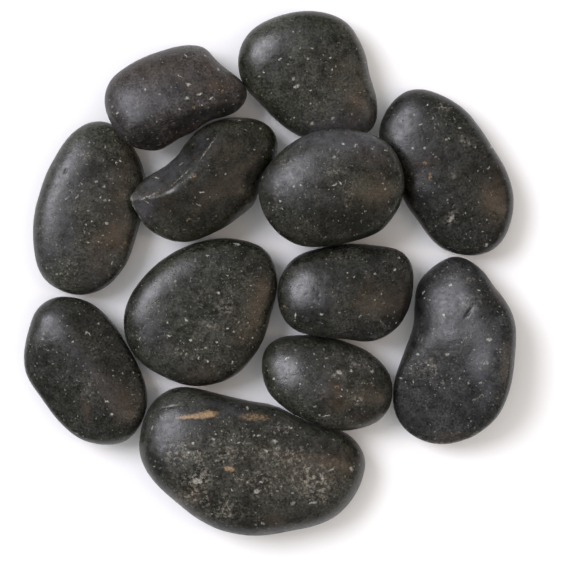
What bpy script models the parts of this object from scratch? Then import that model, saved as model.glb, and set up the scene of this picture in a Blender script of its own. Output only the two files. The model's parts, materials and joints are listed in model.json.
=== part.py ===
"""Twelve polished basalt massage stones, laid out as one loose cluster on a flat surface.

Each stone is a loose, solid pebble.  It is described by the reach of its edge from its
centre at chosen bearings, by its height and the height of its widest line (the belly), and
by how full its crown and its keel are.  Flats worn on a stone are soft plane cuts.  The
keel is ground flat at the table, so every stone has a small level patch to rest on.
All sizes are in millimetres; the meshes are made in metres, +Z up, table at Z = 0.
"""
import math
from dataclasses import dataclass

import bmesh
import bpy
import numpy as np
from mathutils import Vector

MM = 0.001
SET_NAME = "basalt_massage_stones"
CUTS_PER_EDGE = 8          # grid cuts on each cube edge of the blank
KEEL_SINK = 1.0            # how far the full keel would reach below the table
ROUGHNESS = 0.38
METALLIC = 0.0


@dataclass
class Pebble:
    """One stone.  Bearings are in degrees, anticlockwise from +X."""
    name: str
    centre: tuple              # plan position of the stone's centre
    edge: dict                 # bearing: distance from the centre to the edge
    height: float              # top of the crown above the table
    belly: float               # widest line above the table, at the centre
    colour: tuple
    tilt: tuple = (0.0, 0.0)   # rise of the belly line per millimetre along X and Y
    crown: float = 2.3         # fullness: 2 is an ellipse, more has squarer shoulders
    keel: float = 2.2
    lean: tuple = (0.0, 0.0)   # sideways push of the crown
    flats: tuple = ()          # worn flats: bearing, slope, distance from centre, softness


STONES = [
    Pebble(
        name="top_left_stone", centre=(-33.7, 62.7), height=24.0, belly=13.0,
        edge={0: 25.9, 15: 24.4, 30: 21.1, 45: 20.2, 60: 21.1, 75: 20.1, 90: 18.8,
              105: 18.1, 120: 18.4, 135: 19.6, 150: 21.7, 165: 24.5, 180: 25.5, 195: 25.3,
              210: 24.7, 225: 23.9, 240: 22.0, 255: 20.1, 270: 15.7, 285: 14.3, 300: 14.0,
              315: 13.8, 330: 15.7, 345: 22.2},
        colour=(0.060, 0.056, 0.060), crown=2.3, tilt=(-0.02, -0.15), lean=(0.0, -3.0),
        flats=((288, 50, 12.2, 1.1), (215, 135, 17.6, 1.5), (305, 135, 10.8, 1.5))),
    Pebble(
        name="top_stone", centre=(14.6, 70.6), height=18.5, belly=8.0,
        edge={0: 21.6, 30: 21.8, 60: 23.8, 90: 23.8, 120: 25.0, 150: 27.4, 180: 25.2,
              210: 20.2, 240: 20.0, 270: 22.5, 300: 25.5, 320: 29.0, 340: 25.6},
        colour=(0.050, 0.050, 0.047), crown=2.7, tilt=(0.0, 0.06)),
    Pebble(
        name="upper_right_stone", centre=(63.9, 36.4), height=18.0, belly=8.0,
        edge={0: 21.6, 30: 18.7, 60: 20.9, 90: 26.8, 105: 30.9, 120: 32.7, 150: 28.2,
              180: 18.2, 210: 18.6, 240: 20.5, 270: 28.2, 300: 32.4, 330: 27.5},
        colour=(0.046, 0.047, 0.045), crown=2.7, tilt=(0.06, 0.0)),
    Pebble(
        name="centre_oval_stone", centre=(22.1, 31.0), height=28.0, belly=18.0,
        edge={0: 26.3, 30: 26.1, 60: 22.7, 90: 21.1, 120: 20.9, 150: 22.5, 180: 26.3,
              210: 25.9, 240: 24.1, 270: 21.2, 300: 21.6, 315: 23.6, 330: 24.4},
        colour=(0.048, 0.049, 0.045), crown=2.1, keel=2.0,
        flats=((95, 135, 15.0, 1.5), (15, 135, 19.0, 1.5), (180, 135, 19.5, 1.5))),
    Pebble(
        name="ridged_stone", centre=(-23.2, 33.5), height=26.0, belly=13.0,
        edge={0: 20.0, 15: 25.6, 30: 29.8, 45: 29.6, 60: 26.0, 75: 22.9, 90: 19.7,
              105: 16.8, 120: 14.8, 135: 13.4, 150: 14.0, 165: 16.2, 180: 22.4, 195: 29.2,
              210: 28.8, 225: 26.9, 240: 25.2, 255: 23.0, 270: 20.5, 285: 18.9, 300: 18.2,
              315: 17.9, 330: 19.3, 345: 19.8},
        colour=(0.050, 0.048, 0.043), crown=2.4, tilt=(-0.14, -0.05),
        flats=((129, 48, 12.6, 1.0), (226, 37, 18.9, 1.3), (195, 137, 15.5, 1.2))),
    Pebble(
        name="left_stone", centre=(-65.7, 23.4), height=18.0, belly=8.0,
        edge={0: 20.5, 30: 23.9, 60: 28.8, 75: 31.6, 90: 30.6, 120: 22.3, 150: 18.4, 180: 18.7,
              210: 22.5, 240: 29.9, 270: 31.0, 300: 25.4, 330: 20.2},
        colour=(0.048, 0.049, 0.046), crown=2.8, tilt=(-0.06, 0.0)),
    Pebble(
        name="rounded_triangle_stone", centre=(-25.0, -14.0), height=20.0, belly=9.5,
        edge={0: 25.6, 15: 28.6, 30: 31.3, 45: 32.3, 60: 29.9, 90: 25.4, 120: 23.4,
              150: 24.1, 180: 27.3, 210: 28.4, 240: 26.8, 270: 26.6, 300: 25.9, 330: 24.8},
        colour=(0.050, 0.050, 0.047), crown=3.4),
    Pebble(
        name="small_oblong_stone", centre=(27.2, -6.8), height=22.0, belly=12.5,
        edge={0: 24.2, 30: 25.6, 60: 19.6, 90: 17.4, 120: 18.4, 150: 22.5, 180: 24.4,
              210: 23.8, 240: 19.0, 270: 17.2, 300: 20.5, 330: 22.9},
        colour=(0.047, 0.048, 0.046), crown=2.2, tilt=(-0.03, -0.09),
        lean=(-2.0, 0.0), flats=((260, 135, 12.5, 2.0),)),
    Pebble(
        name="kidney_stone", centre=(66.8, -27.7), height=22.0, belly=10.0,
        edge={0: 21.4, 30: 24.0, 45: 25.3, 60: 27.2, 75: 31.3, 90: 33.7, 105: 30.9,
              120: 27.0, 135: 20.8, 150: 17.4, 165: 17.1, 180: 18.1, 195: 20.8, 210: 25.5,
              225: 30.9, 240: 34.3, 255: 34.7, 270: 33.0, 300: 28.3, 330: 23.0},
        colour=(0.055, 0.055, 0.057), crown=2.6, tilt=(0.18, -0.08), lean=(8.0, -4.0),
        flats=((207, 22, 10.0, 1.6),)),
    Pebble(
        name="lower_left_stone", centre=(-66.1, -35.3), height=20.0, belly=9.5,
        edge={0: 19.8, 30: 17.7, 60: 19.8, 90: 25.3, 120: 29.0, 150: 24.7, 180: 21.9,
              210: 18.8, 240: 20.4, 270: 25.2, 300: 28.8, 330: 25.3},
        colour=(0.044, 0.045, 0.044), crown=2.6,
        flats=((215, 21, 9.9, 1.6), (24, 25, 9.9, 2.2))),
    Pebble(
        name="small_oval_stone", centre=(21.1, -38.5), height=19.5, belly=10.0,
        edge={0: 22.8, 30: 18.4, 60: 15.4, 90: 15.6, 120: 18.8, 150: 25.0, 180: 23.4,
              210: 19.4, 240: 16.9, 270: 18.0, 300: 20.5, 330: 23.9},
        colour=(0.052, 0.051, 0.047), crown=2.3, tilt=(0.0, -0.12),
        flats=((250, 135, 10.1, 1.8),)),
    Pebble(
        name="large_speckled_stone", centre=(-6.7, -67.3), height=24.0, belly=9.0,
        edge={0: 41.0, 15: 35.8, 30: 26.3, 45: 22.6, 60: 21.6, 90: 21.2, 105: 23.4, 120: 28.3,
              135: 37.3, 150: 41.0, 165: 41.0, 180: 39.2, 210: 30.6, 240: 27.6, 270: 27.1,
              300: 29.4, 330: 37.4},
        colour=(0.058, 0.057, 0.052), crown=2.8, tilt=(-0.06, -0.03)),
]


def clear_scene():
    """Remove the objects that a new file starts with."""
    for item in list(bpy.data.objects):
        bpy.data.objects.remove(item, do_unlink=True)


def edge_reach(edge, bearing):
    """Distance to the edge at a bearing: a smooth closed curve through the given reaches."""
    stops = sorted(edge)
    count = len(stops)
    bearing %= 360
    first = sum(stop <= bearing for stop in stops) - 1
    near = []
    for index in range(first - 1, first + 3):
        stop = stops[index % count]
        near.append((stop + 360 * (index // count), edge[stop]))
    (a0, r0), (a1, r1), (a2, r2), (a3, r3) = near
    span = a2 - a1
    slope1 = (r2 - r0) / (a2 - a0) * span
    slope2 = (r3 - r1) / (a3 - a1) * span
    t = (bearing - a1) / span
    return ((2 * t**3 - 3 * t**2 + 1) * r1 + (t**3 - 2 * t**2 + t) * slope1
            + (3 * t**2 - 2 * t**3) * r2 + (t**3 - t**2) * slope2)


def long_axis(edge):
    """Bearing of an outline's long axis, and its long and short spreads."""
    bearings = np.arange(0, 360, 5)
    reaches = np.array([edge_reach(edge, bearing) for bearing in bearings])
    angles = np.radians(bearings)
    spreads, axes = np.linalg.eigh(np.cov(reaches * np.cos(angles), reaches * np.sin(angles)))
    return math.atan2(axes[1, 1], axes[0, 1]), math.sqrt(spreads[1]), math.sqrt(spreads[0])


def worn(point, flat, belly):
    """Press a point back behind a flat, with a soft edge where the flat begins."""
    bearing, slope, distance, softness = flat
    normal = Vector((math.sin(math.radians(slope)) * math.cos(math.radians(bearing)),
                     math.sin(math.radians(slope)) * math.sin(math.radians(bearing)),
                     math.cos(math.radians(slope))))
    proud = (point - Vector((0, 0, belly))).dot(normal) - distance
    return point - normal * 0.5 * (proud + math.hypot(proud, softness))


def on_pebble(direction, pebble, axis, long, short):
    """Where the stone's surface lies for a direction on the blank, in millimetres."""
    turn = math.atan2(direction.y, direction.x) - axis
    around = axis + math.atan2(short * math.sin(turn), long * math.cos(turn))
    level = math.hypot(direction.x, direction.y)
    fullness = pebble.crown if direction.z > 0 else pebble.keel
    out = level ** (2 / fullness)
    rise = abs(direction.z) ** (2 / fullness)
    reach = edge_reach(pebble.edge, math.degrees(around)) * out
    x = reach * math.cos(around)
    y = reach * math.sin(around)
    middle = pebble.belly + pebble.tilt[0] * x + pebble.tilt[1] * y
    if direction.z > 0:
        x += pebble.lean[0] * (1 - out)
        y += pebble.lean[1] * (1 - out)
        z = middle + (pebble.height - pebble.belly) * rise
    else:
        z = middle - (pebble.belly + KEEL_SINK) * rise
    point = Vector((x, y, z))
    for flat in pebble.flats:
        point = worn(point, flat, pebble.belly)
    point.z = max(point.z, 0.0)
    return point


def stone_material(pebble):
    """Plain polished basalt in the stone's own colour."""
    material = bpy.data.materials.new(pebble.name + "_basalt")
    material.use_nodes = True
    shader = material.node_tree.nodes["Principled BSDF"]
    shader.inputs["Base Color"].default_value = (*pebble.colour, 1.0)
    shader.inputs["Roughness"].default_value = ROUGHNESS
    shader.inputs["Metallic"].default_value = METALLIC
    material.diffuse_color = (*pebble.colour, 1.0)
    return material


def make_stone(pebble, collection):
    """A cube blank with an even grid on its faces, shaped into the pebble."""
    axis, long, short = long_axis(pebble.edge)
    shape = bmesh.new()
    bmesh.ops.create_cube(shape, size=2.0)
    bmesh.ops.subdivide_edges(shape, edges=shape.edges[:], cuts=CUTS_PER_EDGE,
                              use_grid_fill=True)
    for vertex in shape.verts:
        even = Vector([math.tan(c * math.pi / 4) for c in vertex.co])
        vertex.co = on_pebble(even.normalized(), pebble, axis, long, short) * MM
    mesh = bpy.data.meshes.new(pebble.name)
    shape.to_mesh(mesh)
    shape.free()
    mesh.shade_smooth()
    mesh.materials.append(stone_material(pebble))
    stone = bpy.data.objects.new(pebble.name, mesh)
    stone.location = (pebble.centre[0] * MM, pebble.centre[1] * MM, 0.0)
    collection.objects.link(stone)
    return stone


def main():
    clear_scene()
    collection = bpy.data.collections.new(SET_NAME)
    bpy.context.scene.collection.children.link(collection)
    for pebble in STONES:
        make_stone(pebble, collection)


main()
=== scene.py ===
import json
import math

import bmesh
import bpy
import numpy as np
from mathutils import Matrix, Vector
from mathutils.bvhtree import BVHTree


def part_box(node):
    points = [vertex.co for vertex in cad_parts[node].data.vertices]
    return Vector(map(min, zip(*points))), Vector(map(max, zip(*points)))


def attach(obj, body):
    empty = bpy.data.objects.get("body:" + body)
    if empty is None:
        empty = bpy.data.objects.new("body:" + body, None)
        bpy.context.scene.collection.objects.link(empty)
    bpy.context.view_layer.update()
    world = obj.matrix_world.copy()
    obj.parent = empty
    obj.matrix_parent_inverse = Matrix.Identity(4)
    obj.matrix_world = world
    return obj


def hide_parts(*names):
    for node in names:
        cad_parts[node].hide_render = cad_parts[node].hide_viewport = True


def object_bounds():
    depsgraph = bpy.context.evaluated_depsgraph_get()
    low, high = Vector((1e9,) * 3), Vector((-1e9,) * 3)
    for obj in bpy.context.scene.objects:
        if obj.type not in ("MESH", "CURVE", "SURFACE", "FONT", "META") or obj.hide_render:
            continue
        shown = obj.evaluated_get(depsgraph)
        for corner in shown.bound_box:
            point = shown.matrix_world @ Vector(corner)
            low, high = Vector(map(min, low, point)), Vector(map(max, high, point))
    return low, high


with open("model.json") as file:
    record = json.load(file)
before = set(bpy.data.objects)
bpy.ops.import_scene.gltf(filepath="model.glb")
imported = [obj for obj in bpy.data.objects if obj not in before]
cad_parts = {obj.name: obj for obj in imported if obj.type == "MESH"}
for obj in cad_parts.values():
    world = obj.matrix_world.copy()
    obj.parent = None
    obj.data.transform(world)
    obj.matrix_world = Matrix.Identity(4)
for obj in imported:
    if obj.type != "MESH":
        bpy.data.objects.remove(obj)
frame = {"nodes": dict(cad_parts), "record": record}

MM = 0.001
CAD_LOW, CAD_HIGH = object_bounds()

# ---------------------------------------------------------------- what is on each stone
# Every mark is (across, up, half length, half width, turn).  The first two are fractions of
# the stone's own box along X and Y, the halves are in millimetres, and turn is in degrees
# anticlockwise.
#   white, ochre, scratch, rust: hard-edged inclusions and scratches
#   cream, brown, dust, dark, specks: soft patches that change the ground or its speckling,
#       with a sixth number, the strength.  Cream and specks are the stone's own; brown is partly
#       rusty staining and partly a painted warm reflection on the stones' right-hand sides; dust
#       is partly a dusty film and partly a painted sheen on faces that should look lit; dark is
#       painted shade on flanks and sides that should look darker, and over sheens that are too
#       bright
#   dent: a hollow, with a sixth number, its depth in millimetres
MARKS = {
    "top_left_stone": dict(
        white=((.59, .61, .96, .84, 0), (.29, .56, .54, .48, 0), (.39, .52, .66, .3, -20),
            (.57, .89, .9, .48, -50), (.53, .69, 1, .3, -25), (.09, .34, .66, .54, 0),
            (.37, .26, .36, .36, 0), (.53, .38, .36, .36, 0), (.69, .42, .48, .36, 20),
            (.75, .48, .9, .36, 40), (.8, .76, .66, .48, -30), (.58, .48, .9, .54, 20),
            (.67, .52, 1.2, .48, 20)),
        rust=((.63, .39, .6, .54, 0), (.83, .55, .72, .48, 20), (.9, .59, .6, .36, 0)),
        brown_stain_and_reflection=((.79, .61, 7.8, 3.6, 0, .9), (.43, .77, 15.6, 4.8, 0, .5),
            (.72, .8, 4.8, 3.6, 0, .6), (.62, .18, 9.6, 3, 25, .5)),
        dust_and_sheen=((.62, .66, 8.4, 5.4, 0, .5), (.26, .44, 12.6, 3.6, 6, .7)),
        dark=((.21, .33, 5.4, 4.2, 0, .7), (.83, .4, 13.8, 4.2, 28, 1),
            (.79, .39, 11.4, 3.6, 25, 1), (.26, .12, 12, 4.8, -5, .8), (.52, .18, 9.6, 3, 15, .8)),
        specks=((.26, .61, 4.8, 3.6, 0, .7), (.67, .82, 9, 3.6, 0, .5),
            (.08, .34, 3.6, 3.6, 0, .6)),
    ),
    "top_stone": dict(
        white=((.39, .83, .54, .48, 0), (.53, .7, .48, .36, 0), (.5, .62, .54, .48, 0),
            (.66, .63, .42, .42, 0), (.67, .54, .42, .42, 0), (.4, .47, .48, .6, 0),
            (.42, .41, 1.4, .72, 40), (.52, .38, .42, .36, 0), (.52, .28, .36, .36, 0),
            (.68, .17, .66, .54, 0), (.4, .17, .54, .42, 0), (.3, .62, .84, .48, 40),
            (.18, .52, .54, .36, 0), (.15, .49, .78, .36, 30), (.81, .2, .36, .36, 0),
            (.53, .13, .72, .6, 0), (.91, .6, .36, .36, 0)),
        rust=((.94, .31, .54, .48, 0),),
        brown_stain_and_reflection=((.85, .33, 12, 2.7, 80, .5), (.88, .79, 5.4, 3, -60, .5)),
        dust_and_sheen=((.72, .1, 13.2, 6.6, 0, 1.3), (.25, .8, 10.2, 5.4, -15, .4)),
        dark=((.53, .78, 9, 4.8, 0, .4),),
        specks=((.24, .33, 7.2, 7.2, 0, .5), (.53, .62, 9.6, 7.2, 0, .4)),
    ),
    "upper_right_stone": dict(
        white=((.39, .82, .42, .42, 0), (.3, .78, .54, .36, 20), (.4, .76, .36, .36, 0),
            (.59, .76, .72, .36, -15), (.49, .69, .6, .48, 0), (.33, .64, .72, .54, 0),
            (.24, .64, .54, .48, 0), (.39, .6, .3, .3, 0), (.8, .52, 1, .3, 45),
            (.83, .65, .9, .48, -50), (.53, .22, 1.7, .84, 60), (.63, .25, .3, .3, 0),
            (.79, .21, .36, .36, 0), (.76, .14, .36, .36, 0), (.79, .06, .72, .54, 80),
            (.35, .9, .48, .36, 0)),
        cream=((.46, .89, 2.4, 1.3, -20, .9), (.64, .68, 3.6, 1.5, -40, .5),
            (.53, .48, 1.8, 1.2, 0, .5), (.53, .22, 3, 1.8, 60, .5)),
        rust=((.33, .55, 1.2, .78, -10), (.37, .47, 1.7, .66, 90)),
        brown_stain_and_reflection=((.85, .36, 9.6, 3.6, 85, .55), (.32, .55, 4.2, 3.6, 0, .5),
            (.25, .46, 5.4, 4.8, 0, .3)),
        dark=((.24, .69, 6.6, 13.8, 10, 1), (.25, .38, 7.8, 7.2, 0, .9),
            (.5, .59, 5.4, 4.2, 0, .5)),
        dust_and_sheen=((.09, .79, 6.6, 4.8, 80, .45),),
        specks=((.38, .84, 9, 7.2, 0, .7), (.69, .09, 9, 4.8, 0, .7)),
    ),
    "centre_oval_stone": dict(
        white=((.34, .89, .54, .48, 0), (.58, .86, .78, .54, 0), (.66, .85, .84, .36, 70),
            (.87, .81, .72, .36, -20), (.93, .71, .84, .48, 80), (.15, .38, .72, .48, -60),
            (.16, .32, .66, .36, -15), (.1, .31, .36, .36, 0), (.05, .28, .48, .42, 0),
            (.05, .36, .36, .3, 0), (.52, .52, .96, .36, 35), (.56, .53, .84, .3, -40),
            (.85, .53, .54, .24, 0), (.96, .58, .42, .3, 0), (.29, .51, .42, .36, 0),
            (.24, .51, .36, .36, 0), (.78, .82, .84, .3, -10)),
        cream=((.2, .71, 2, 1.8, 0, 1), (.13, .47, 1.2, 3, -20, .5),
            (.62, .4, 1.8, 3.6, -10, .4), (.52, .64, 3.6, 1.8, 0, .5)),
        brown_stain_and_reflection=((.76, .76, 5.4, 3.6, 0, .35), (.81, .45, 3.6, 5.4, 0, .3),
            (.34, .14, 12, 3.6, 0, .2)),
        dust_and_sheen=((.6, .88, 19.8, 6, -4, 1.8), (.35, .72, 10.8, 4.2, 25, .5),
            (.51, .95, 18, 2.1, 0, .5)),
        dark=((.14, .52, 6.6, 6.6, 0, 1), (.53, .16, 18, 10.2, 0, .5), (.53, .27, 18, 6, 0, .3)),
        specks=((.19, .35, 9, 6, 0, .6), (.67, .82, 10.8, 4.2, 0, .6), (.67, .58, 7.2, 3, 0, .5)),
    ),
    "ridged_stone": dict(
        white=((.47, .29, 1.1, .3, -20), (.49, .39, 1.1, .3, 0), (.18, .51, .96, .54, -10),
            (.89, .91, .66, .54, 0), (.97, .73, .3, .3, 0), (.74, .97, .6, .3, 0),
            (.65, .54, .36, .36, 0), (.83, .95, .48, .3, 0), (.53, .82, .6, .36, 30)),
        scratch=((.53, .74, 6.9, .36, 55), (.13, .36, 6.6, .3, 22), (.35, .51, 6, .18, 42),
            (.12, .31, 2.3, .24, -35), (.34, .61, 2.4, .18, 30)),
        rust=((.4, .17, 1.1, .42, 25), (.44, .52, 1.1, .84, 0)),
        brown_stain_and_reflection=((.65, .71, 7.2, 3.6, 20, .4), (.4, .36, 12.6, 5.4, 0, .2),
            (.26, .3, 5.4, 3.6, 0, .3)),
        dust_and_sheen=((.09, .27, 4.8, 5.4, 0, 1.8), (.25, .54, 12, 3.6, 32, 1.5),
            (.49, .79, 5.4, 3, 50, 1.2)),
        dark=((.61, .46, 16.2, 6, 33, .7), (.82, .6, 6, 4.2, 0, .7)),
        specks=((.65, .54, 9, 2.4, 0, .4), (.4, .39, 7.2, 4.8, 0, .3)),
    ),
    "left_stone": dict(
        white=((.51, .88, .36, .36, 0), (.65, .85, .48, .36, 80), (.74, .76, .54, .36, 90),
            (.78, .77, .48, .48, 0), (.64, .62, .72, .6, 0), (.57, .65, .84, .3, -10),
            (.31, .55, .9, .3, 40), (.4, .56, 1, .3, 45), (.61, .56, .36, .36, 0),
            (.65, .54, .54, .6, 0), (.69, .54, .36, .36, 0), (.39, .48, .42, .36, 0),
            (.5, .48, .6, .48, 0), (.53, .42, .48, .42, 0), (.48, .4, .42, .42, 0),
            (.66, .41, .72, .66, 0), (.47, .36, .72, .3, 80), (.5, .3, .48, .36, 0),
            (.59, .3, .36, .3, 0), (.44, .64, .36, .36, 0), (.32, .12, .36, .3, 0),
            (.26, .12, .42, .36, 0), (.78, .17, .48, .48, 0), (.71, .18, .96, .36, 80)),
        cream=((.47, .8, 1.8, 1.1, 0, .9), (.69, .94, 2.7, .84, -40, 1),
            (.33, .19, 2.4, .84, -30, .8), (.23, .35, 1.2, .72, 0, .5)),
        rust=((.82, .3, .6, .6, 0), (.71, .31, .42, .36, 0), (.78, .28, .36, .36, 0),
            (.68, .11, .36, .6, 0)),
        brown_stain_and_reflection=((.83, .73, 7.8, 4.8, 80, .4), (.7, .31, 6.6, 4.8, 0, .7),
            (.6, .19, 5.4, 4.8, 0, .4)),
        dark=((.82, .48, 5.4, 4.2, 0, .7),),
        dust_and_sheen=((.27, .39, 5.4, 13.8, -5, 1.2), (.33, .76, 7.8, 4.8, 65, .7),
            (.15, .39, 11.4, 4.2, 80, .7)),
        dent=((.3, .71, 1, .48, 60, .3),),
        specks=((.55, .61, 9.6, 8.4, 0, .6), (.3, .15, 8.4, 4.2, 0, .8),
            (.73, .78, 3.6, 3.6, 0, .5)),
    ),
    "rounded_triangle_stone": dict(
        white=((.83, .68, .48, .42, 0), (.77, .78, .48, .3, 0), (.62, .63, .72, .66, 0),
            (.56, .61, .3, .36, 0), (.29, .43, .48, .42, 0), (.41, .45, .96, .42, 110),
            (.3, .34, 1.1, .42, -5), (.11, .32, .54, .36, 90), (.55, .88, 1, .3, -10),
            (.74, .96, 1.6, .36, -10), (.68, .75, .48, .36, 0), (.55, .17, .78, .6, 0),
            (.71, .16, .72, .42, 70), (.49, .19, .78, .36, 95), (.84, .33, .36, .36, 0),
            (.81, .43, .36, .36, 0), (.68, .39, .6, .42, 0), (.72, .37, .72, .36, -15),
            (.44, .31, .72, .48, 0), (.61, .3, .6, .48, 0), (.34, .71, .42, .36, 0),
            (.54, .26, .72, .48, 0)),
        cream=((.37, .23, 3.6, 1.3, -10, 1), (.66, .54, 3.6, 3.6, 0, .5),
            (.55, .41, 3.6, 2.4, 0, .5)),
        brown_stain_and_reflection=((.89, .59, 8.4, 2.7, 80, .45), (.82, .35, 5.4, 3.6, 60, .45),
            (.52, .09, 5.4, 3, 0, .4)),
        dark=((.45, .52, 4.8, 3.6, 0, .4), (.72, .08, 9, 3, 20, .3)),
        dust_and_sheen=((.2, .36, 3.6, 8.4, 0, 1), (.14, .57, 10.8, 3, 75, .3)),
        specks=((.53, .5, 24, 21.6, 0, .8),),
    ),
    "small_oblong_stone": dict(
        white=((.51, .7, .3, .3, 0), (.56, .66, .36, .36, 0), (.71, .69, .42, .42, 0),
            (.86, .73, .42, .36, 0), (.89, .85, .78, .3, -30), (.6, .26, .84, .42, 50),
            (.45, .3, .48, .42, 0), (.32, .28, .66, .48, -30), (.13, .27, 1.4, .36, 85),
            (.76, .49, .36, .36, 0), (.71, .43, .36, .36, 0), (.87, .19, .36, .3, 0)),
        cream=((.76, .19, 3.6, .84, -35, .5), (.43, .86, 3.6, .96, 10, .5),
            (.09, .75, .96, .96, 0, .6)),
        rust=((.05, .36, .48, .72, 0), (.03, .34, .36, .36, 0)),
        brown_stain_and_reflection=((.64, .51, 6.6, 2.4, 65, .45),),
        dark=((.86, .36, 6.6, 8.4, 0, .8), (.22, .29, 6, 2.7, 0, .6), (.59, .1, 7.8, 2.4, 0, .6)),
        dust_and_sheen=((.29, .41, 6.6, 3, -20, 1), (.24, .58, 7.8, 5.4, -20, .3)),
        dent=((.16, .56, .84, .66, 0, .14), (.3, .48, .54, .54, 0, .12),
            (.21, .48, .48, .48, 0, .1), (.26, .42, .6, .42, 0, .08)),
        specks=((.88, .77, 4.8, 3.6, 0, .7), (.71, .16, 7.2, 3, 0, .4)),
    ),
    "kidney_stone": dict(
        white=((.24, .81, .9, .36, 65), (.29, .77, .42, .42, 0), (.25, .78, .3, .3, 0),
            (.4, .69, .6, .54, 0), (.61, .93, .9, .3, -25), (.69, .82, .6, .3, 0),
            (.77, .56, 1.1, .78, 0), (.19, .48, .6, .6, 0), (.43, .48, .96, .48, 0),
            (.28, .42, .48, .42, 0), (.47, .35, .42, .36, 0), (.53, .35, .36, .36, 0),
            (.16, .33, .9, .36, 90), (.06, .35, .72, .6, 0), (.1, .33, .36, .36, 0),
            (.7, .33, .6, .36, 35), (.41, .3, .3, .3, 0), (.37, .3, .3, .3, 0),
            (.89, .54, .3, .24, 0), (.46, .85, .6, .48, 0)),
        scratch=((.68, .25, 2, .3, 42), (.65, .24, .84, .24, 30), (.72, .26, .96, .18, -45),
            (.81, .63, 1.1, .12, -8), (.83, .61, .72, .12, -10)),
        cream=((.72, .43, 2.4, .96, 60, .9), (.61, .76, 4.2, 2.4, 0, .5),
            (.27, .41, 4.8, 3.6, 0, .7), (.64, .88, 2.4, 1.2, 0, .4)),
        brown_stain_and_reflection=((.85, .79, 4.2, 1.5, -30, .5), (.48, .03, 6.6, 2.1, 0, .5)),
        dust_and_sheen=((.72, .37, 3.6, 10.2, 0, 1.2), (.5, .82, 5.4, 3, -50, .3),
            (.79, .5, 11.4, 3.6, 75, .7)),
        dark=((.43, .68, 6.6, 7.8, -10, .7), (.56, .19, 6, 3, 0, .4), (.31, .74, 7.8, 9, -25, .75)),
        dent=((.6, .7, 1.9, .48, 52, .45),),
        specks=((.27, .41, 10.2, 9.6, 0, .7), (.48, .94, 7.8, 3.6, 0, .5),
            (.81, .61, 4.8, 7.2, 0, .3)),
    ),
    "lower_left_stone": dict(
        white=((.61, .82, .42, .42, 0), (.52, .76, .6, .48, 0), (.54, .75, .96, .3, 120),
            (.16, .72, .6, .3, 15), (.38, .74, .42, .42, 0), (.41, .7, .54, .36, 60),
            (.21, .64, .48, .3, 0), (.28, .63, .36, .36, 0), (.05, .81, .36, .36, 0),
            (.02, .68, .36, .36, 0), (.89, .49, .6, .36, 0), (.72, .21, .66, .48, 0),
            (.66, .21, .36, .42, 0), (.43, .08, .72, .36, -10), (.68, .3, 1, .3, -30)),
        cream=((.56, .61, 1.8, 1.2, 0, .5), (.56, .44, 1.5, 3.6, -20, .5),
            (.55, .35, 3, 1.5, 0, .5), (.18, .75, 2.4, 1.8, 0, .4)),
        rust=((.96, .19, .3, .54, 0),),
        brown_stain_and_reflection=((.52, .26, 3.6, 1.3, 95, .8), (.82, .32, 6.6, 3.6, -50, .6)),
        dust_and_sheen=((.28, .8, 7.8, 3.6, -55, .45), (.55, .53, 20.4, 2.5, -53, .9)),
        specks=((.55, .54, 7.8, 9, 0, .5), (.74, .23, 7.2, 4.2, 0, .5), (.2, .67, 5.4, 4.2, 0, .5)),
        dark=((.16, .78, 3.6, 6, 0, .6), (.71, .56, 4.8, 5.4, 0, .3), (.59, .07, 9, 3, 0, .4)),
    ),
    "small_oval_stone": dict(
        white=((.59, .61, 1.2, .96, 0), (.84, .62, .72, .6, 0), (.68, .63, .48, .42, 0),
            (.4, .8, .54, .42, 0), (.49, .76, .54, .42, 0), (.26, .71, .36, .3, 0),
            (.34, .66, .3, .3, 0), (.19, .76, 1, .42, 30), (.09, .54, .6, .42, 90),
            (.29, .49, .48, .3, 0), (.61, .44, .78, .36, 110), (.73, .32, .6, .6, 0),
            (.6, .37, .3, .42, 0), (.4, .26, .84, .48, 0), (.49, .16, 1.9, .3, 15),
            (.8, .49, .3, .3, 0), (.31, .19, .72, .3, -15)),
        cream=((.56, .61, 2.4, 1.3, 0, 1), (.73, .32, 1.6, 1.3, 0, .9),
            (.45, .39, 2.4, 1.5, 0, .6), (.75, .71, 6, 2.4, -15, .5)),
        rust=((.57, .46, 1, .72, 0), (.26, .09, .6, .36, 0)),
        brown_stain_and_reflection=((.57, .34, 6.6, 3.6, -80, .7), (.75, .11, 7.2, 3, 0, .3)),
        dust_and_sheen=((.2, .62, 6.6, 4.5, -50, .35), (.75, .72, 6.6, 2.4, -15, .5)),
        dent=((.21, .63, .36, .36, 0, .09), (.24, .58, .36, .36, 0, .09),
            (.19, .58, .36, .36, 0, .08)),
        specks=((.34, .74, 10.2, 5.4, 0, .7), (.67, .51, 9, 7.2, 0, .4)),
        dark=((.36, .93, 12, 2.4, -5, .3), (.82, .34, 4.8, 6, 0, .3)),
    ),
    "large_speckled_stone": dict(
        white=((.6, .64, 1.3, .9, 0), (.51, .68, .48, .48, 0), (.53, .68, .72, .48, 0),
            (.44, .63, .54, .48, 0), (.42, .69, .36, .3, 0), (.34, .69, .6, .36, 0),
            (.41, .65, .36, .36, 0), (.1, .8, .9, .36, -45), (.06, .73, 1.1, .42, 80),
            (.24, .63, .54, .48, 0), (.22, .57, .6, .54, 0), (.26, .58, .36, .36, 0),
            (.26, .38, 2, 1.1, 0), (.54, .37, 1, .42, -10), (.48, .37, .48, .42, 0),
            (.48, .45, .6, .24, 0), (.46, .42, .42, .3, 0), (.68, .3, .72, .42, -15),
            (.61, .31, .66, .3, -40), (.81, .4, 1.1, .54, 100), (.85, .45, 1.2, .48, 20),
            (.94, .45, 1.1, .66, 110), (.67, .73, 1, .36, -20), (.33, .66, .84, .54, 0),
            (.56, .58, 1.2, .6, -30), (.68, .23, .84, .72, 0), (.77, .23, 1.9, .36, 10),
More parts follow.
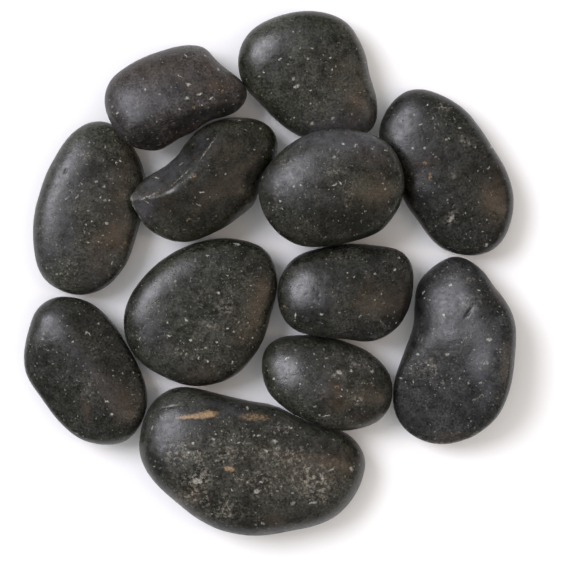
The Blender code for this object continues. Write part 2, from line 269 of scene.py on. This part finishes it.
            (.41, .32, .96, .3, 80), (.46, .31, .3, .3, 0), (.55, .09, .96, .42, -20),
            (.45, .39, 1.2, .3, -15), (.48, .86, .72, .54, 90), (.52, .31, 1.2, .9, 0)),
        scratch=((.21, .27, 1.6, .18, 5), (.77, .23, 2, .18, 10), (.36, .54, .96, .18, -40)),
        cream=((.26, .38, 6, 4.2, 0, 1), (.2, .56, 6.6, 5.4, 0, .9),
            (.62, .73, 3.9, 1.8, -10, 1), (.63, .55, 9, 3.6, 0, .9), (.76, .37, 7.8, 6, 0, 1),
            (.38, .19, 6.6, 4.8, 0, .8), (.25, .29, 5.4, 4.2, 0, .9),
            (.54, .37, 9.6, 5.4, 0, .6), (.38, .59, 8.4, 5.4, 0, .6)),
        ochre=((.2, .8, 3.4, .72, 6), (.26, .81, 6.7, 1.1, 4), (.3, .82, 4.6, 1.5, 6),
            (.4, .46, 2.2, 1.1, -10)),
        rust=((.51, .8, 6.7, 1.6, -3),),
        brown_stain_and_reflection=((.87, .52, 6, 3.6, 0, .5), (.68, .55, 5.4, 1.8, 0, .5), (.6, .11, 4.8, 3, 0, .5),
            (.25, .3, 3.6, 3.6, 0, .5)),
        dust_and_sheen=((.41, .85, 12, 3, -15, 1.2), (.17, .75, 11.4, 6.6, 10, .7),
            (.62, .74, 3.6, 2.4, 0, .4)),
        dark=((.48, .03, 31.2, 4.8, -8, .8), (.11, .59, 4.2, 12, 0, .8),
            (.15, .41, 4.2, 3, 0, .5), (.44, .1, 9, 3, 0, .5), (.47, .54, 3.6, 3.6, 0, .3)),
        dent=((.14, .87, 2.6, .3, 10, .25), (.12, .89, 1.2, .24, -30, .2)),
        specks=((.38, .59, 11.4, 7.2, 0, 1), (.54, .37, 13.8, 9.6, 0, 1),
            (.22, .5, 7.8, 7.8, 0, 1), (.89, .41, 7.2, 4.2, 0, .9), (.67, .35, 12, 9.6, 0, .7)),
    ),
}

# What each stone is like: its ground, how much dusty film it has (partly a painted sheen), how
# many specks it has, how rough its polish is, and which way its short pale dashes run, in degrees.
LOOKS = {
    "top_left_stone": dict(ground="plum", dust_and_sheen=0.12, specks=0.45, rough=0.33, lines=20),
    "top_stone": dict(ground="moss", dust_and_sheen=0.15, specks=0.30, rough=0.28, lines=-30),
    "upper_right_stone": dict(ground="jet", dust_and_sheen=0.08, specks=0.35, rough=0.27, lines=60),
    "centre_oval_stone": dict(ground="olive", dust_and_sheen=0.20, specks=0.40, rough=0.30, lines=80),
    "ridged_stone": dict(ground="bronze", dust_and_sheen=0.05, specks=0.20, rough=0.30, lines=10),
    "left_stone": dict(ground="moss", dust_and_sheen=0.32, specks=0.45, rough=0.31, lines=50),
    "rounded_triangle_stone": dict(ground="olive", dust_and_sheen=0.10, specks=0.60, rough=0.29, lines=-15),
    "small_oblong_stone": dict(ground="black", dust_and_sheen=0.10, specks=0.25, rough=0.28, lines=15),
    "kidney_stone": dict(ground="slate", dust_and_sheen=0.08, specks=0.40, rough=0.32, lines=-10),
    "lower_left_stone": dict(ground="black", dust_and_sheen=0.08, specks=0.35, rough=0.31, lines=-40),
    "small_oval_stone": dict(ground="olive", dust_and_sheen=0.15, specks=0.40, rough=0.30, lines=10),
    "large_speckled_stone": dict(ground="olive", dust_and_sheen=0.15, specks=0.45, rough=0.30, lines=0),
}
# The colours of each ground, dark and light.
GROUNDS = {
    "olive": ((0.0059, 0.0061, 0.0038), (0.0205, 0.0209, 0.0151)),
    "moss": ((0.0078, 0.0081, 0.0053), (0.0272, 0.0275, 0.0201)),
    "black": ((0.0058, 0.0059, 0.0042), (0.0181, 0.0182, 0.0144)),
    "jet": ((0.0045, 0.0047, 0.0033), (0.0144, 0.0145, 0.0115)),
    "bronze": ((0.0054, 0.0055, 0.0033), (0.0177, 0.0175, 0.0113)),
    "slate": ((0.0061, 0.0064, 0.0058), (0.0172, 0.0177, 0.0166)),
    "plum": ((0.0118, 0.0107, 0.0095), (0.0359, 0.0318, 0.0297)),
}
# The colours of what lies in the ground or on it.  The brown also serves as a painted warm
# reflection, and the film as a painted sheen.
BROWN_STAIN_AND_REFLECTION = (0.048, 0.030, 0.018)
FILM_AND_SHEEN = (0.053, 0.051, 0.061)
CREAM = (0.190, 0.172, 0.142)
FLECK = (0.26, 0.255, 0.220)
OCHRE = (0.250, 0.165, 0.085)
RUST = (0.150, 0.095, 0.042)
SPECK = (0.25, 0.245, 0.210)

# ---------------------------------------------------------------- the fine skins
GRID = 96            # quads along each edge of the cube that every skin starts from
PHONG = 0.75         # how far a point on a flat facet moves out towards the curved surface
FAIRING = 80         # rounds of smoothing that take the last facets out
CRISP_FAIRING = 9    # rounds where a stone keeps its worn edges
# Those stones, crisp to the left of the first fraction of the box and soft past the second.
CRISP = {"ridged_stone": (0.55, 0.75)}
OWN, NEAR = 0.3, 0.7  # shares of a point's own place and its neighbours' in a round of fairing
SETTLE = 0.10        # the relief is sunk by this much, so that it doesn't reach the next stone
# Wavelength and height of the unevenness, in millimetres.
RELIEF = ((12.0, 0.09), (5.0, 0.018), (1.9, 0.007))
WAVERS = ((7.0, 0.30), (2.6, 0.25))  # wavelength in millimetres and strength, at patches' edges
WEAR = (0.22, 0.75)  # curvature per millimetre where an edge begins to look worn, and is fully so
SOFT_KINDS = ("cream", "brown_stain_and_reflection", "dust_and_sheen", "dark", "specks")


def cube_grid(cuts):
    """A closed cube of cuts x cuts quads a side, spread evenly over a unit sphere."""
    bm = bmesh.new()
    bmesh.ops.create_cube(bm, size=2.0)
    bmesh.ops.subdivide_edges(bm, edges=bm.edges[:], cuts=cuts - 1, use_grid_fill=True)
    bmesh.ops.recalc_face_normals(bm, faces=bm.faces)
    points = np.array([v.co[:] for v in bm.verts])
    quads = np.array([[v.index for v in f.verts] for f in bm.faces])
    around = np.array([[e.other_vert(v).index for e in v.link_edges][:3] for v in bm.verts])
    fourth = np.array([[e.other_vert(v).index for e in v.link_edges][-1] for v in bm.verts])
    bm.free()
    points = np.tan(points * math.pi / 4)
    points /= np.linalg.norm(points, axis=1)[:, None]
    return points, quads, np.column_stack([around, fourth])


SPHERE, QUADS, AROUND = cube_grid(GRID)


def neighbour_mean(field):
    return field[AROUND].mean(1)


def faired(field, rounds):
    """Smoothed, then given back the smooth part of what that took away, so nothing shrinks."""
    result = np.zeros_like(field)
    for _ in range(2):
        left = field - result
        for _ in range(rounds):
            left = OWN * left + NEAR * neighbour_mean(left)
        result += left
    return result


def point_normals(points):
    """Unit normals of a skin, from the diagonals of its quads."""
    corner = points[QUADS]
    face = np.cross(corner[:, 2] - corner[:, 0], corner[:, 3] - corner[:, 1])
    total = np.zeros_like(points)
    for side in range(4):
        np.add.at(total, QUADS[:, side], face)
    return total / np.linalg.norm(total, axis=1)[:, None]


def welded(mesh):
    """Points, triangles and point normals of a frame mesh, its split corners joined."""
    mesh.calc_loop_triangles()
    points = np.empty(len(mesh.vertices) * 3)
    mesh.vertices.foreach_get("co", points)
    points = points.reshape(-1, 3)
    corners = np.empty(len(mesh.loop_triangles) * 3, np.int32)
    mesh.loop_triangles.foreach_get("vertices", corners)
    keys = np.round(points / (0.001 * MM)).astype(np.int64)
    _, first, same = np.unique(keys, axis=0, return_index=True, return_inverse=True)
    points = points[first]
    triangles = same.reshape(-1)[corners].reshape(-1, 3)
    a, b, c = (points[triangles[:, i]] for i in range(3))
    face = np.cross(b - a, c - a)
    normals = np.zeros_like(points)
    for i in range(3):
        np.add.at(normals, triangles[:, i], face)
    return points, triangles, normals / np.linalg.norm(normals, axis=1)[:, None]


def smoothstep(value, low, high):
    t = np.clip((value - low) / (high - low), 0, 1)
    return t * t * (3 - 2 * t)


def curved_skin(node):
    """The sphere's points carried out onto a stone, on the curved surface its facets stand for."""
    points, triangles, normals = welded(frame["nodes"][node].data)
    tree = BVHTree.FromPolygons(points.tolist(), triangles.tolist())
    low, high = points.min(0), points.max(0)
    centre = (low + high) / 2
    _, axes = np.linalg.eigh(np.cov((points - centre)[:, :2].T))
    turn = np.eye(3)
    turn[:2, :2] = axes[:, ::-1]
    if np.linalg.det(turn) < 0:
        turn[:, 1] *= -1
    reach = np.abs((points - centre) @ turn).max(0)
    rays = (SPHERE * reach) @ turn.T
    rays /= np.linalg.norm(rays, axis=1)[:, None]
    start = Vector(centre)
    hits = [tree.ray_cast(start, Vector(ray)) for ray in rays]
    where = np.array([hit[0][:] for hit in hits])
    corner = triangles[[hit[2] for hit in hits]]
    a, b, c = (points[corner[:, i]] for i in range(3))
    flat = np.cross(b - a, c - a)
    area = (flat ** 2).sum(1)
    share = np.stack([
        (np.cross(c - b, where - b) * flat).sum(1) / area,
        (np.cross(a - c, where - c) * flat).sum(1) / area,
        (np.cross(b - a, where - a) * flat).sum(1) / area,
    ])
    bent = np.zeros_like(where)
    for i in range(3):
        normal = normals[corner[:, i]]
        off = ((where - points[corner[:, i]]) * normal).sum(1)
        bent += share[i][:, None] * (where - off[:, None] * normal)
    skin = where + PHONG * (bent - where)
    soft = faired(skin, FAIRING)
    if node not in CRISP:
        return soft
    across = (skin[:, 0] - low[0]) / (high[0] - low[0])
    share = smoothstep(across, *CRISP[node])[:, None]
    return faired(skin, CRISP_FAIRING) * (1 - share) + soft * share


def waves(points, wavelength, rng, count=28):
    """A smooth random field from -1 to 1: a sum of plane waves in random directions."""
    total = np.zeros(len(points))
    for _ in range(count):
        way = rng.normal(size=3)
        way *= 2 * math.pi / (np.linalg.norm(way) * wavelength * MM * rng.uniform(0.7, 1.5))
        total += np.sin(points @ way + rng.uniform(0, 2 * math.pi))
    return total * math.sqrt(2 / count) / 2


def distance_to(mark, place, size):
    """How far each point is from a mark's centre, in plan, as a share of the mark's half axes."""
    across, up, half_length, half_width, turn = mark[:5]
    x = (place[:, 0] - across) * size[0] / MM
    y = (place[:, 1] - up) * size[1] / MM
    c, s = math.cos(math.radians(turn)), math.sin(math.radians(turn))
    return np.hypot((c * x + s * y) / half_length, (c * y - s * x) / half_width)


def weathered(node, skin, rng):
    """The skin with its unevenness and its dents pressed in."""
    normals = point_normals(skin)
    low, high = (np.array(corner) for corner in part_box(node))
    place = (skin - low) / (high - low)
    height = -SETTLE * np.ones(len(skin))
    for wavelength, size in RELIEF:
        height += size * waves(skin, wavelength, rng)
    upper = smoothstep(normals[:, 2], 0.0, 0.3)
    for mark in MARKS[node].get("dent", ()):
        height -= mark[5] * upper * np.exp(-distance_to(mark, place, high - low) ** 2)
    result = skin + normals * height[:, None] * MM
    result[:, 2] = np.maximum(result[:, 2], 0)
    return result


def soft_mask(node, kind, skin, upper, place, size, rng):
    """Strength of one kind of soft patch at every point, with wavering edges."""
    mask = np.zeros(len(skin))
    waver = sum(strength * waves(skin, wavelength, rng) for wavelength, strength in WAVERS)
    for mark in MARKS[node].get(kind, ()):
        far = distance_to(mark, place, size) + waver
        mask = np.maximum(mask, mark[5] * np.exp(-np.maximum(far, 0) ** 2))
    return mask * upper


def edge_wear(points):
    """Near 1 along sharp convex edges, from how far each point stands proud of its neighbours."""
    normals = point_normals(points)
    proud = ((points - neighbour_mean(points)) * normals).sum(1)
    spacing = np.linalg.norm(points[AROUND] - points[:, None], axis=2).mean(1)
    bend = proud / spacing ** 2 * MM * 4
    for _ in range(2):
        bend = 0.5 * bend + 0.5 * neighbour_mean(bend)
    return smoothstep(bend, *WEAR)


def point_values(mesh, name, values):
    attribute = mesh.attributes.new(name, "FLOAT", "POINT")
    attribute.data.foreach_set("value", values.astype(np.float32))


def skin_object(node, body):
    """A stone's fine skin, with its soft patches and its material, in place of the CAD node."""
    rng = np.random.default_rng(sum(node.encode()))
    plain = curved_skin(node)
    skin = weathered(node, plain, rng)
    mesh = bpy.data.meshes.new(node + "_skin")
    mesh.from_pydata(skin.tolist(), [], QUADS.tolist())
    mesh.shade_smooth()
    low, high = (np.array(corner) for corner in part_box(node))
    place = (skin - low) / (high - low)
    upper = smoothstep(point_normals(skin)[:, 2], 0.0, 0.25)
    for kind in SOFT_KINDS:
        point_values(mesh, kind, soft_mask(node, kind, skin, upper, place, high - low, rng))
    point_values(mesh, "wear", edge_wear(plain))
    mesh.materials.append(basalt(node, skin))
    stone = bpy.data.objects.new(node + "_skin", mesh)
    bpy.context.scene.collection.objects.link(stone)
    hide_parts(node)
    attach(stone, body)


# ---------------------------------------------------------------- basalt
# Sizes of the noises, in millimetres.
SIZES = dict(jitter=1.1, wide=14, middle=3.6, grain=0.75, film_and_sheen=22, cream=1.3, crumb=0.7,
             wear=1.6, ripple=1.7)
JITTER = 1.5         # how far the edges of grains and marks are pulled about, in millimetres
GRAIN_SHADE = (0.25, 2.3)   # factors of the ground's colour in its darkest and lightest grains
DUST_AND_SHEEN_FILM = 0.55     # how much film, partly a painted sheen, a full patch of dust adds
# How far a film, a brown patch or a dark patch changes the ground where it is fullest: the
# film is partly a painted sheen, the brown partly a painted warm reflection, the dark a
# painted shade.
FILM_AND_SHEEN_COVER, BROWN_STAIN_AND_REFLECTION_COVER, PAINTED_SHADE_COVER = 0.6, 0.75, 0.75
# Scattered grains: the size of a cell in millimetres, the least and the greatest radius in
# cells, and the least and the greatest strength of their colour.
FINE = dict(cell=0.85, radius=(0.16, 0.42), strength=(0.05, 0.55))
COARSE = dict(cell=2.3, radius=(0.10, 0.24), strength=(0.10, 0.60))
DASH = dict(cell=(3.4, 0.9, 1.2), radius=(0.14, 0.34), strength=(0.04, 0.24))
PIT = dict(cell=1.5, radius=(0.10, 0.30))
GRAIN_EDGE = 0.45    # the share of the greatest radius over which a grain's edge fades
# How likely a cell is to hold a grain: in a full patch of specks, and for a stone's own specks.
FINE_CHANCE = (0.45, 0.7)
COARSE_CHANCE = (0.22, 0.22)
DASH_CHANCE = (0.20, 0.2)   # on every stone, and for a stone's own specks
PIT_CHANCE = 0.45
# Hard-edged marks: their colour, and how solid they are where they crumble most.
INCLUSIONS = {"rust": (RUST, 0.1), "ochre": (OCHRE, 0.55), "white": (FLECK, 0.35),
              "scratch": (CREAM, 0.1)}
MARK_EDGE = (0.40, 1.10)  # where a mark begins to fade and where it ends, in half axes
MARK_DEPTH = 5.0     # a mark reaches this far up and down, so it never shows underneath
# The most that each adds to the roughness.  The first two also take as much away.
DULL = dict(middle=0.07, ripple=0.04, film_and_sheen=0.10, grains=0.15, wear=0.15, dark=0.10, facing=0.10)
# Heights of the relief that is finer than the mesh, in millimetres.
BUMPS = dict(grain=0.028, middle=0.10, ripple=0.035, pits=-0.035, coarse=0.012)
POLISH = 0.42        # level of the polish's reflections


class Graph:
    """A short way to write a material's nodes."""

    def __init__(self, name):
        self.material = bpy.data.materials.new(name)
        self.material.use_nodes = True
        self.tree = self.material.node_tree
        self.shader = self.tree.nodes["Principled BSDF"]

    def put(self, socket, value):
        if isinstance(value, bpy.types.NodeSocket):
            self.tree.links.new(value, socket)
        elif isinstance(value, tuple) and socket.type == "RGBA":
            socket.default_value = (*value, 1.0)
        else:
            socket.default_value = value

    def node(self, kind, inputs, **settings):
        made = self.tree.nodes.new(kind)
        for key, value in settings.items():
            setattr(made, key, value)
        for key, value in inputs.items():
            self.put(made.inputs[key], value)
        return made

    def calc(self, operation, a, b=0.0, c=0.0, clamp=False):
        inputs = {0: a, 1: b, 2: c}
        node = self.node("ShaderNodeMath", inputs, operation=operation, use_clamp=clamp)
        return node.outputs[0]

    def vector(self, operation, a, b):
        return self.node("ShaderNodeVectorMath", {0: a, 1: b}, operation=operation).outputs[0]

    def ramp(self, value, low, high, to_low=0.0, to_high=1.0):
        """to_low where value is low or less, to_high where it is high or more, smooth between."""
        inputs = {"Value": value, "From Min": low, "From Max": high,
                  "To Min": to_low, "To Max": to_high}
        node = self.node("ShaderNodeMapRange", inputs, interpolation_type="SMOOTHSTEP")
        return node.outputs["Result"]

    def mix(self, share, a, b):
        node = self.node("ShaderNodeMix", {"Factor": share, 6: a, 7: b}, data_type="RGBA")
        return node.outputs[2]

    def scaled(self, colour, factor):
        node = self.node("ShaderNodeVectorMath", {0: colour, "Scale": factor}, operation="SCALE")
        return node.outputs[0]

    def noise(self, where, size, detail=3.0, roughness=0.55, colour=False):
        inputs = {"Vector": where, "Scale": 1 / size, "Detail": detail, "Roughness": roughness}
        return self.node("ShaderNodeTexNoise", inputs).outputs["Color" if colour else "Fac"]

    def cells(self, where, size):
        """Distance to the nearest of scattered points, in cells, and three random numbers."""
        node = self.node("ShaderNodeTexVoronoi", {"Vector": where, "Scale": 1 / size})
        parts = self.node("ShaderNodeSeparateColor", {"Color": node.outputs["Color"]})
        return (node.outputs["Distance"], *parts.outputs)

    def dots(self, where, size, radius, chance):
        """Scattered round grains: how much of one covers each place, and a number for each."""
        far, a, b, c = self.cells(where, size)
        reach = self.ramp(a, 0, 1, radius[0], radius[1])
        there = self.ramp(self.calc("ADD", b, chance), 1.0, 1.04)
        inside = self.calc("SUBTRACT", reach, far)
        cover = self.calc("MULTIPLY", inside, 1 / (radius[1] * GRAIN_EDGE), clamp=True)
        return self.calc("MULTIPLY", cover, there), c

    def patch(self, where, centre, half_length, half_width, turn, depth):
        """1 inside an oval, falling to 0 at its edge."""
        flat = self.node("ShaderNodeMapping", {
            "Vector": where, "Location": centre, "Rotation": (0, 0, math.radians(turn)),
            "Scale": (half_length, half_width, depth)}, vector_type="TEXTURE").outputs[0]
        far = self.node("ShaderNodeVectorMath", {0: flat}, operation="LENGTH").outputs["Value"]
        return self.ramp(far, *MARK_EDGE, 1.0, 0.0)


def hard_marks(g, warped, node, kind, skin):
    """The hard-edged marks of one kind on a stone, joined into one mask; None if it has none."""
    low, high = (np.array(corner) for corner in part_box(node))
    above = skin[skin[:, 2] > (low[2] + high[2]) / 2]
    joined = None
    for across, up, half_length, half_width, turn in MARKS[node].get(kind, ()):
        plan = low[:2] + np.array((across, up)) * (high - low)[:2]
        nearest = above[np.hypot(*(above[:, :2] - plan).T).argmin()]
        centre = tuple(float(c) / MM for c in (*plan, nearest[2]))
        mask = g.patch(warped, centre, half_length, half_width, turn, MARK_DEPTH)
        joined = mask if joined is None else g.calc("MAXIMUM", joined, mask)
    return joined


def basalt(node, skin):
    """A stone's material: clouded ground, scattered grains, placed marks, polish and relief."""
    look = LOOKS[node]
    g = Graph(node + "_basalt")
    objects = g.node("ShaderNodeTexCoord", {}).outputs["Object"]
    where = g.vector("MULTIPLY", objects, (1 / MM, 1 / MM, 1 / MM))
    masks = {kind: g.node("ShaderNodeAttribute", {}, attribute_name=kind).outputs["Fac"]
             for kind in (*SOFT_KINDS, "wear")}
    jitter = g.noise(where, SIZES["jitter"], 2, colour=True)
    jitter = g.vector("SUBTRACT", jitter, (0.5, 0.5, 0.5))
    warped = g.vector("ADD", where, g.scaled(jitter, JITTER))
    wide = g.noise(where, SIZES["wide"], 3)
    middle = g.noise(warped, SIZES["middle"], 4, 0.65)
    grain = g.noise(where, SIZES["grain"], 3, 0.7)

    # the ground: clouded from dark to light, with a fine grain
    dark, light = GROUNDS[look["ground"]]
    cloud = g.calc("ADD", g.calc("MULTIPLY", wide, 0.5), g.calc("MULTIPLY", middle, 0.5))
    colour = g.mix(g.ramp(cloud, 0.36, 0.66), dark, light)
    colour = g.scaled(colour, g.ramp(grain, 0.32, 0.68, *GRAIN_SHADE))

    # the soft patches: a film of dust that is partly a painted sheen, brown that is partly
    # staining and partly a painted warm reflection, dark places that are painted shade, and
    # pale clouding
    film_and_sheen = g.ramp(g.noise(where, SIZES["film_and_sheen"], 2), 0.42, 0.68, 0.0, look["dust_and_sheen"])
    film_and_sheen = g.calc("ADD", film_and_sheen, g.calc("MULTIPLY", masks["dust_and_sheen"], DUST_AND_SHEEN_FILM), clamp=True)
    film_and_sheen = g.calc("MULTIPLY", film_and_sheen, g.ramp(middle, 0.3, 0.6, 0.55, 1.0))
    colour = g.mix(g.calc("MULTIPLY", film_and_sheen, FILM_AND_SHEEN_COVER), colour, FILM_AND_SHEEN)
    stain_and_reflection = g.calc("MULTIPLY", masks["brown_stain_and_reflection"], g.ramp(middle, 0.3, 0.62, 0.45, 1.0))
    colour = g.mix(g.calc("MULTIPLY", stain_and_reflection, BROWN_STAIN_AND_REFLECTION_COVER), colour, BROWN_STAIN_AND_REFLECTION)
    painted_shade = g.calc("MULTIPLY", masks["dark"], PAINTED_SHADE_COVER)
    colour = g.scaled(colour, g.calc("SUBTRACT", 1.0, painted_shade))
    clouding = g.ramp(g.noise(warped, SIZES["cream"], 4, 0.7), 0.46, 0.66)
    colour = g.mix(g.calc("MULTIPLY", masks["cream"], clouding), colour, CREAM)

    # pale grains of two sizes, and short pale dashes that run one way
    def sprinkled(base, cover, kind, strength, tint):
        return g.mix(g.calc("MULTIPLY", cover, g.ramp(kind, 0.2, 1, *strength)), base, tint)

    specks = look["specks"]
    chance = g.calc("MULTIPLY_ADD", masks["specks"], FINE_CHANCE[0], specks * FINE_CHANCE[1])
    fine, kind = g.dots(warped, FINE["cell"], FINE["radius"], chance)
    colour = sprinkled(colour, fine, kind, FINE["strength"], SPECK)
    chance = g.calc("MULTIPLY_ADD", masks["specks"], COARSE_CHANCE[0], specks * COARSE_CHANCE[1])
    coarse, kind = g.dots(warped, COARSE["cell"], COARSE["radius"], chance)
    colour = sprinkled(colour, coarse, kind, COARSE["strength"], FLECK)
    lined = g.node("ShaderNodeMapping", {
        "Vector": warped, "Rotation": (0, 0, math.radians(look["lines"])),
        "Scale": DASH["cell"]}, vector_type="TEXTURE").outputs[0]
    dash, kind = g.dots(lined, 1.0, DASH["radius"], DASH_CHANCE[0] + DASH_CHANCE[1] * specks)
    colour = sprinkled(colour, dash, kind, DASH["strength"], SPECK)

    # the inclusions that can be told apart one by one, and the wear along sharp edges
    crumb = g.ramp(g.noise(where, SIZES["crumb"], 3, 0.7), 0.40, 0.60)
    for kind, (tint, solid) in INCLUSIONS.items():
        mask = hard_marks(g, warped, node, kind, skin)
        if mask is not None:
            broken = g.ramp(crumb, 0, 1, solid, 1.0)
            colour = g.mix(g.calc("MULTIPLY", mask, broken), colour, tint)
    chafe = g.ramp(g.noise(warped, SIZES["wear"], 3), 0.42, 0.62, 0.0, 0.7)
    colour = g.mix(g.calc("MULTIPLY", masks["wear"], chafe), colour, CREAM)
    g.put(g.shader.inputs["Base Color"], colour)

    # polish: duller over the film, grains, worn edges and the patches of painted shade, and where
    # it turns away
    ripple = g.noise(where, SIZES["ripple"], 2)
    rough = look["rough"]
    rough = g.ramp(middle, 0.3, 0.7, rough - DULL["middle"], rough + DULL["middle"])
    rough = g.calc("ADD", rough, g.ramp(ripple, 0.3, 0.7, -DULL["ripple"], DULL["ripple"]))
    grains = g.calc("MAXIMUM", fine, coarse)
    for part, most in ((film_and_sheen, DULL["film_and_sheen"]), (grains, DULL["grains"]),
                       (masks["wear"], DULL["wear"]), (masks["dark"], DULL["dark"])):
        rough = g.calc("MULTIPLY_ADD", part, most, rough)
    facing = g.node("ShaderNodeLayerWeight", {"Blend": 0.5}).outputs["Facing"]
    rough = g.calc("ADD", rough, g.ramp(facing, 0.35, 0.95, 0.0, DULL["facing"]))
    g.put(g.shader.inputs["Roughness"], rough)
    g.put(g.shader.inputs["Specular IOR Level"], POLISH)

    # relief finer than the mesh
    pits, _ = g.dots(warped, PIT["cell"], PIT["radius"], PIT_CHANCE)
    relief = g.calc("MULTIPLY", grain, BUMPS["grain"])
    for part, height in ((middle, BUMPS["middle"]), (ripple, BUMPS["ripple"]),
                         (pits, BUMPS["pits"]), (coarse, BUMPS["coarse"])):
        relief = g.calc("MULTIPLY_ADD", part, height, relief)
    bump = g.node("ShaderNodeBump", {"Height": relief, "Strength": 1.0, "Distance": MM})
    g.put(g.shader.inputs["Normal"], bump.outputs[0])
    return g.material


for body, members in frame["record"]["behaviour"]["bodies"].items():
    for node in members:
        skin_object(node, body)


# ---------------------------------------------------------------- floor, light and camera
FLOOR_HALF = 3.0     # metres from the middle of the floor to each edge
FLOOR_GREY, FLOOR_ROUGH = 0.76, 0.9
# Lamps: azimuth and tilt as direction() takes them, then strength and colour.
KEY = (-62, 39, 2.42, (0.91, 0.905, 1.0))
KEY_SPREAD = 31      # degrees across, as seen from the stones
KEY_SPILL = (-50, 48, 0.60, (0.96, 0.96, 1.0))
KEY_SPILL_SPREAD = 80
STRIP = (97, 42, 2.3, (1.0, 0.74, 0.54))
STRIP_DISTANCE = 1.2
STRIP_SIZE = (0.14, 1.3)
WORLD_LIT, WORLD_MIRRORED = 0.87, 0.20
WORLD_COLOUR = (1.0, 0.992, 0.984)
CAMERA_HEIGHT = 1.2
CAMERA_FIELD = 0.2063
CAMERA_SHIFT = (6.1, -4.8)  # from the middle of the group to the middle of the view, millimetres
STONE_TOPS = 0.010   # height above the floor at which the camera's field is measured


def plain_material(name, colour, roughness):
    material = bpy.data.materials.new(name)
    material.use_nodes = True
    shader = material.node_tree.nodes["Principled BSDF"]
    shader.inputs["Base Color"].default_value = (*colour, 1)
    shader.inputs["Roughness"].default_value = roughness
    shader.inputs["Specular IOR Level"].default_value = 0.0
    return material


def add_floor(half):
    mesh = bpy.data.meshes.new("studio_floor")
    corners = [(-half, -half, 0), (half, -half, 0), (half, half, 0), (-half, half, 0)]
    mesh.from_pydata(corners, [], [(0, 1, 2, 3)])
    mesh.materials.append(plain_material("studio_floor", (FLOOR_GREY,) * 3, FLOOR_ROUGH))
    floor = bpy.data.objects.new("studio_floor", mesh)
    bpy.context.scene.collection.objects.link(floor)


def direction(azimuth, tilt):
    """Towards a lamp that stands at azimuth, clockwise from the back, tilted from overhead."""
    a, t = math.radians(azimuth), math.radians(tilt)
    return Vector((math.sin(a) * math.sin(t), math.cos(a) * math.sin(t), math.cos(t)))


def add_lamp(name, kind, azimuth, tilt, strength, colour, distance=0.0):
    lamp = bpy.data.lights.new(name, kind)
    lamp.energy = strength
    lamp.color = colour
    lamp_object = bpy.data.objects.new(name, lamp)
    towards = direction(azimuth, tilt)
    lamp_object.location = towards * distance
    lamp_object.rotation_euler = towards.to_track_quat("Z", "Y").to_euler()
    lamp_object.visible_camera = False
    bpy.context.scene.collection.objects.link(lamp_object)
    return lamp


def add_world(lit, mirrored):
    """An even studio: it lights surfaces with one strength and shows in their polish with less."""
    world = bpy.data.worlds.new("studio")
    world.use_nodes = True
    tree = world.node_tree
    path = tree.nodes.new("ShaderNodeLightPath")
    strength = tree.nodes.new("ShaderNodeMapRange")
    strength.inputs["To Min"].default_value = lit
    strength.inputs["To Max"].default_value = mirrored
    tree.links.new(path.outputs["Is Glossy Ray"], strength.inputs["Value"])
    tree.links.new(strength.outputs["Result"], tree.nodes["Background"].inputs["Strength"])
    tree.nodes["Background"].inputs["Color"].default_value = (*WORLD_COLOUR, 1)
    bpy.context.scene.world = world


def add_camera(height, field, aim):
    """A long lens straight above the group; field is the width it sees at the stones."""
    data = bpy.data.cameras.new("camera")
    data.sensor_width = 36.0
    data.lens = data.sensor_width * height / field
    data.clip_start, data.clip_end = 0.05, 20.0
    camera = bpy.data.objects.new("camera", data)
    camera.location = (aim[0], aim[1], height + STONE_TOPS)
    bpy.context.scene.collection.objects.link(camera)
    bpy.context.scene.camera = camera


add_floor(FLOOR_HALF)
add_lamp("key", "SUN", *KEY).angle = math.radians(KEY_SPREAD)
add_lamp("key_spill", "SUN", *KEY_SPILL).angle = math.radians(KEY_SPILL_SPREAD)
strip = add_lamp("warm_strip", "AREA", *STRIP, STRIP_DISTANCE)
strip.shape = "RECTANGLE"
strip.size, strip.size_y = STRIP_SIZE
add_world(WORLD_LIT, WORLD_MIRRORED)
centre = (CAD_LOW + CAD_HIGH) / 2
add_camera(CAMERA_HEIGHT, CAMERA_FIELD,
           (centre.x + CAMERA_SHIFT[0] * MM, centre.y + CAMERA_SHIFT[1] * MM))
bpy.context.scene.view_settings.view_transform = "Standard"
